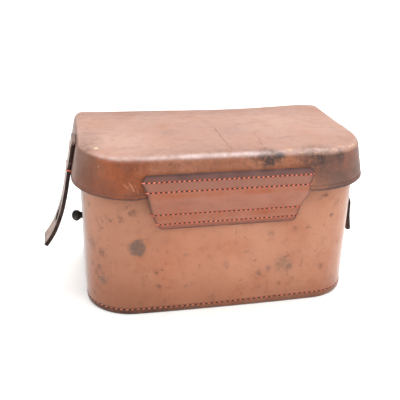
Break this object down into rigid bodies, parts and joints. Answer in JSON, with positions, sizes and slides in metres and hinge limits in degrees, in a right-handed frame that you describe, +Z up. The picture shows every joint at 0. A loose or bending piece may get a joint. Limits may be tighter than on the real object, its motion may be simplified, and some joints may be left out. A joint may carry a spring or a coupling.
{
  "type": "leather camera case",
  "caption": "Moulded leather box camera case with a fall-back lid on a stitched leather hinge flap and end straps that button over ball studs.",
  "frame": {"origin": "centre of the underside of the base, where the case stands", "axes": "+X along the case's long side, +Y from the hinge side to the far side, +Z up"},
  "size_m": [0.2435, 0.1259, 0.1215],
  "materials": {
    "body_leather": "aged, satin",
    "lid_leather": "aged, satin",
    "flap_leather": "aged, satin",
    "strap_leather": "aged, burnished edges",
    "edge_leather": "burnished",
    "thread": "waxed linen",
    "lining": "short pile",
    "black_metal": "worn black",
    "brass": "dull"
  },
  "bodies": {
    "case": {"body_wall": "body_leather", "base_tray": "edge_leather", "base_stitching": "thread", "wall_seam_stitching": "thread", "body_lining": "lining", "base_pad": "lining", "stud_left": "black_metal", "stud_washer_left": "brass", "stud_screw_left": "brass", "stud_right": "black_metal", "stud_washer_right": "brass", "stud_screw_right": "brass", "hinge_flap_bend": "flap_leather", "hinge_flap_lower": "flap_leather", "hinge_stitch_row_3": "thread", "hinge_stitch_row_4": "thread"},
    "lid": {"lid_shell": "lid_leather", "lid_lining": "lining", "hinge_flap_upper": "flap_leather", "hinge_stitch_row_1": "thread", "hinge_stitch_row_2": "thread", "strap_tab_left": "strap_leather", "strap_stitching_upper_left": "thread", "strap_stitching_lower_left": "thread", "strap_tab_right": "strap_leather", "strap_stitching_upper_right": "thread", "strap_stitching_lower_right": "thread"},
    "left_strap": {"strap_left": "strap_leather"},
    "right_strap": {"strap_right": "strap_leather"}
  },
  "joints": [
    {"name": "lid_hinge", "type": "hinge", "parent": "case", "child": "lid", "pos_m": [0, -0.0615, 0.0915], "axis": [1, 0, 0], "range_deg": [0, 170], "deforming": ["hinge_flap_bend"]},
    {"name": "left_strap_bend", "type": "hinge", "parent": "lid", "child": "left_strap", "pos_m": [-0.1086, 0, 0.093], "axis": [0, 1, 0], "range_deg": [-23, 100], "stiffness_Nm_per_rad": 0.03},
    {"name": "right_strap_bend", "type": "hinge", "parent": "lid", "child": "right_strap", "pos_m": [0.1086, 0, 0.093], "axis": [0, -1, 0], "range_deg": [-9.6, 100], "stiffness_Nm_per_rad": 0.03}
  ]
}
